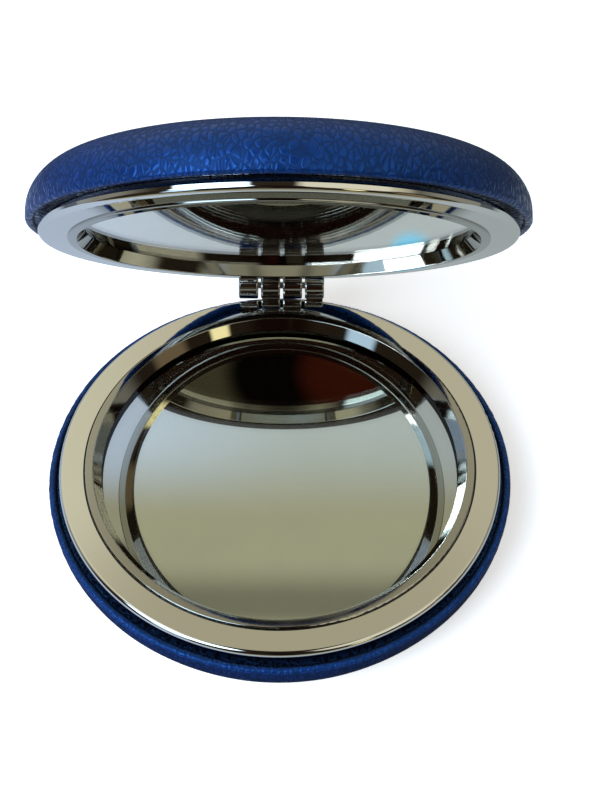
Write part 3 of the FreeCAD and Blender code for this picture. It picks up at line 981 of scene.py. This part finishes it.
@dataclass
class Studio:
    """Pale floor, soft room, one cool window lamp, one warm card lamp and the camera."""

    floor_size: float = 1.3
    focus: Triple = (0.0, 0.01, 0.02)
    camera_place: Triple = (1.6521 * MM, -112.3377 * MM, 163.1087 * MM)
    yaw: float = math.radians(0.6487)
    pitch: float = math.radians(50.8506)
    roll: float = math.radians(0.6048)
    focal_pixels: float = 1243.8625
    image_height: int = 800
    sensor: float = 36.0
    clip_start: float = 5 * MM
    room_colour: str = "#8f8d80"
    # The dark front, the cream ceiling and walls, small things ahead, then the window and its glints.
    room: tuple[RoomPatch, ...] = (
        RoomPatch((0.0, -1.0, 0.0), 80, 95, "#30281e"),
        RoomPatch((-0.25, 0.62, 0.75), 34, 50, "#e2dec2"),
        RoomPatch((0.35, 0.6, 0.72), 24, 42, "#c9c2a7"),
        RoomPatch((0.62, -0.05, 0.78), 16, 26, "#cfc8ae"),
        RoomPatch((0.0, 0.3, 0.95), 8, 24, "#b7b195"),
        RoomPatch((0.5, -0.42, 0.75), 19, 25, "#f0ebd2"),
        RoomPatch((-0.88, 0.48, 0.14), 8, 18, "#a9c0da"),
        RoomPatch((0.84, 0.5, 0.2), 8, 16, "#7d827c"),
        RoomPatch((0.0, -1.0, 0.05), 8, 18, "#77786e"),
        RoomPatch((0.86, -0.46, 0.2), 5, 12, "#8e7b5e"),
        RoomPatch((0.0, -0.12, 0.99), 8, 16, "#1c1310"),
        RoomPatch((0.0, -0.62, 0.78), 8, 13, "#1c1310"),
        RoomPatch((0.0, -0.92, 0.38), 8, 20, "#1d0f0a"),
        RoomPatch((-0.09, -0.92, 0.38), 2.5, 4.5, "#453f2f"),
        RoomPatch((-0.012, -0.92, 0.38), 1.6, 2.8, "#070504"),
        RoomPatch((0.04, -0.92, 0.38), 1.0, 2.4, "#381409"),
        RoomPatch((-0.5, -0.45, 0.73), 17, 21, "#d6f0ff", 4.0),
        RoomPatch((-0.66, -0.66, 0.3), 6, 10, "#c6e6ff", 1.6),
        RoomPatch((-0.42, 0.02, 0.9), 5, 9, "#eef8ff", 1.6),
        RoomPatch((0.52, -0.8, 0.29), 3, 6, "#fff2b4", 2.0),
    )
    light_colour: str = "#2c2c2c"
    light: tuple[RoomPatch, ...] = (
        RoomPatch((0.0, 0.2, 0.98), 30, 80, "#5e5c59"),
        RoomPatch((-0.5, -0.45, 0.73), 17, 21, "#d6f0ff", 5.0),
    )
    lamps: tuple[Lamp, ...] = (
        Lamp("window", (-0.6, -0.5, 0.62), 0.7, (0.45, 0.5), 4.2, "#eef5ff"),
        Lamp("warm_card", (0.3, 0.3, 0.9), 0.8, (0.6, 0.6), 0.7, "#fff1dc"),
    )
    bounce_colour: str = "#8f8f8d"
    paint_colour: str = "#f4f4f4"
    paint_lift: float = 0.6
    paint_roughness: float = 0.9
    # Painted light and shade on the table that metal and glass see: cool blue on the left, grey on the right.
    painted_light_left: str = "#c9daf0"
    painted_light_right: str = "#b9c3c5"
    near_fade: Fade = Fade(-50 * MM, 10 * MM)
    painted_light_and_shadow_bands: tuple[tuple[str, Fade], ...] = (
        # Warm beige ahead, then a darker band of painted shadow, then brighter again further ahead.
        ("#aaa88f", Fade(-60 * MM, -150 * MM)),
        ("#7b7a68", Fade(-200 * MM, -270 * MM)),
        ("#bbb69a", Fade(-290 * MM, -360 * MM)),
    )
    # A small spot of painted cyan light behind the case on the right.
    painted_light_spot: str = "#86dcff"
    painted_light_spot_place: Triple = (23.0 * MM, 40.0 * MM, 0.0)
    painted_light_spot_fade: Fade = Fade(5 * MM, 2 * MM)
    # Painted shadow round the case, and the painted light fading down behind it.
    painted_shadow_place: Triple = (0.0, -6.0 * MM, 0.0)
    painted_shadow_fade: Fade = Fade(38 * MM, 46 * MM, 0.12)
    behind_fade: Fade = Fade(85 * MM, 115 * MM, 1.0, 0.2)

    def build(self) -> None:
        """Builds the stage, the light and the camera."""
        self.floor()
        self.world()
        for lamp in self.lamps:
            self.hang(lamp)
        self.camera()

    def floor(self) -> None:
        """Lays a level floor under the part: white to the camera, and to metal and glass a glowing table of painted
        light.
        """
        across = np.linspace(-self.floor_size / 2, self.floor_size / 2, 2)
        points = np.stack([*np.meshgrid(across, across), np.zeros((2, 2))], axis=-1).reshape(-1, 3)
        floor = add_piece("floor", points, [[0, 1, 3, 2]])
        material, tree, shader, place = new_material("matt_paint_and_painted_light")
        axes = add_node(tree, "SeparateXYZ", None, {"Vector": place})
        painted_light_spot = add_node(tree, "VectorMath", {1: self.painted_light_spot_place}, {0: place}, operation="DISTANCE")
        contact = add_node(tree, "VectorMath", {1: self.painted_shadow_place}, {0: place}, operation="DISTANCE")
        # Painted light: the table's tints, cool on the left, beige ahead, with a painted shadow band and a cyan spot.
        tones = (
            (self.painted_light_right, self.near_fade, axes.outputs["X"]),
            *((code, fade, axes.outputs["Y"]) for code, fade in self.painted_light_and_shadow_bands),
            (self.painted_light_spot, self.painted_light_spot_fade, painted_light_spot),
        )
        under: dict = {}
        for code, fade, measure in tones:
            share = add_node(tree, "MapRange", fade.sockets, {"Value": measure}, interpolation_type="SMOOTHSTEP")
            tint = add_node(
                tree, "Mix", {"A": linear(self.painted_light_left), "B": linear(code)}, {"Factor": share, **under},
                data_type="RGBA",
            )
            under = {"A": tint}
        shade, behind = (
            add_node(tree, "MapRange", fade.sockets, {"Value": measure}, interpolation_type="SMOOTHSTEP")
            for fade, measure in ((self.painted_shadow_fade, contact), (self.behind_fade, axes.outputs["Y"]))
        )
        dim = add_node(tree, "Math", None, {0: shade, 1: behind}, operation="MULTIPLY")
        # The table glows: metal and glass see painted light and shade here, not a lit surface.
        table = add_node(tree, "Emission", None, {"Color": tint, "Strength": dim})
        path = add_node(tree, "LightPath")
        colour = add_node(
            tree, "Mix", {"A": linear(self.bounce_colour), "B": linear(self.paint_colour)},
            {"Factor": path.outputs["Is Camera Ray"]}, data_type="RGBA",
        )
        lift = add_node(tree, "Math", {1: self.paint_lift}, {0: path.outputs["Is Camera Ray"]}, operation="MULTIPLY")
        paint = {"Roughness": self.paint_roughness, "Specular IOR Level": 0.0, "Emission Color": WHITE}
        plug(tree, shader, paint, {"Base Color": colour, "Emission Strength": lift})
        shown = add_node(
            tree, "Math", None, {0: path.outputs["Is Glossy Ray"], 1: path.outputs["Is Transmission Ray"]},
            operation="MAXIMUM",
        )
        mixed = add_node(tree, "MixShader", None, {0: shown, 1: shader, 2: table})
        plug(tree, tree.nodes["Material Output"], None, {"Surface": mixed})
        dress(floor, material)

    def painted(self, tree: NodeTree, toward: NodeSocket, ground: str, patches: tuple[RoomPatch, ...]) -> Node:
        """Paints soft round patches on a plain room.

        A patch covers the directions within its inner angle of its middle, and fades out to its outer angle.

        Args:
            tree: the world's node tree.
            toward: the direction that is looked in.
            ground: the plain room's colour as sRGB hex.
            patches: the patches, each over the ones before it.

        Returns:
            The node that gives the room's colour in that direction.
        """
        under: dict = {}
        for patch in patches:
            near = add_node(
                tree, "VectorMath", {1: Vector(patch.toward).normalized()}, {0: toward}, operation="DOT_PRODUCT"
            )
            mask = add_node(tree, "MapRange", patch.fade.sockets, {"Value": near}, interpolation_type="SMOOTHSTEP")
            seen = add_node(
                tree, "Mix", {"A": linear(ground), "B": [patch.strength * share for share in linear(patch.colour)]},
                {"Factor": mask, **under}, data_type="RGBA",
            )
            under = {"A": seen}
        return seen

    def world(self) -> None:
        """Makes the room: white to the camera, soft patches to metal and glass, and soft light to the rest."""
        world = bpy.data.worlds.new("soft_room")
        world.use_nodes = True
        bpy.context.scene.world = world
        tree = world.node_tree
        tree.nodes.clear()
        toward = add_node(tree, "TexCoord").outputs["Generated"]
        path = add_node(tree, "LightPath")
        mirrored = add_node(
            tree, "Math", None, {0: path.outputs["Is Glossy Ray"], 1: path.outputs["Is Transmission Ray"]},
            operation="MAXIMUM",
        )
        soft = self.painted(tree, toward, self.light_colour, self.light)
        bright = self.painted(tree, toward, self.room_colour, self.room)
        lit = add_node(tree, "Mix", None, {"Factor": mirrored, "A": soft, "B": bright}, data_type="RGBA")
        shown = add_node(
            tree, "Mix", {"B": WHITE}, {"Factor": path.outputs["Is Camera Ray"], "A": lit}, data_type="RGBA"
        )
        background = add_node(tree, "Background", {"Strength": 1.0}, {"Color": shown})
        add_node(tree, "OutputWorld", None, {"Surface": background})

    def hang(self, lamp: Lamp) -> None:
        """Hangs one lamp.

        Args:
            lamp: the lamp.
        """
        data = bpy.data.lights.new(lamp.name, "AREA")
        data.shape = "RECTANGLE"
        data.size, data.size_y = lamp.size
        data.energy = lamp.watts
        data.color = linear(lamp.colour)[:3]
        hung = bpy.data.objects.new(lamp.name, data)
        bpy.context.scene.collection.objects.link(hung)
        direction = Vector(lamp.toward).normalized()
        hung.location = Vector(self.focus) + lamp.distance * direction
        hung.rotation_euler = direction.to_track_quat("Z", "Y").to_euler()
        hung.visible_camera = hung.visible_glossy = False

    def camera(self) -> None:
        """Sets the camera by yaw, pitch and roll, and its focal length from the image's height."""
        yaw, pitch, roll = self.yaw, self.pitch, self.roll
        ahead = Vector((math.sin(yaw) * math.cos(pitch), math.cos(yaw) * math.cos(pitch), -math.sin(pitch)))
        right = Vector((math.cos(yaw), -math.sin(yaw), 0.0))
        up = right.cross(ahead)
        aside = right * math.cos(roll) + up * math.sin(roll)
        above = up * math.cos(roll) - right * math.sin(roll)
        data = bpy.data.cameras.new("camera")
        data.sensor_width = self.sensor
        data.lens = self.focal_pixels * self.sensor / self.image_height
        data.clip_start = self.clip_start
        camera = bpy.data.objects.new("camera", data)
        bpy.context.scene.collection.objects.link(camera)
        turn = Matrix((aside, above, -ahead)).transposed()
        camera.matrix_world = Matrix.Translation(self.camera_place) @ turn.to_4x4()
        bpy.context.scene.camera = camera


def main() -> None:
    """Builds both halves, the pin and the studio."""
    logging.basicConfig(level=logging.INFO, format="%(message)s")
    bpy.context.scene.view_settings.view_transform = "Standard"
    chrome, nickel, joint_shadow = (finish.material() for finish in (BRIGHT_CHROME, DARK_NICKEL, PaintedJointShadow()))
    leather, foam = GrainedLeather().material(), PADDING_FOAM.material()
    glass, silver = FloatGlass().material(), SilveredBack().material()
    shell, pad = MOULDED_SHELL.material(), ADHESIVE_PAD.material()
    for half in Half:
        placement = Placement.of(half)
        PaddedCover(placement, leather, foam).build()
        MirrorPlate(placement, glass, silver).build()
        PlatedFittings(placement, chrome, nickel, joint_shadow, shell, pad).build()
    dress(frame["nodes"]["hinge_pin"], DrawnSteel().material())
    LOG.info("hinge_pin: drawn steel")
    Studio().build()


if __name__ == "__main__":
    main()
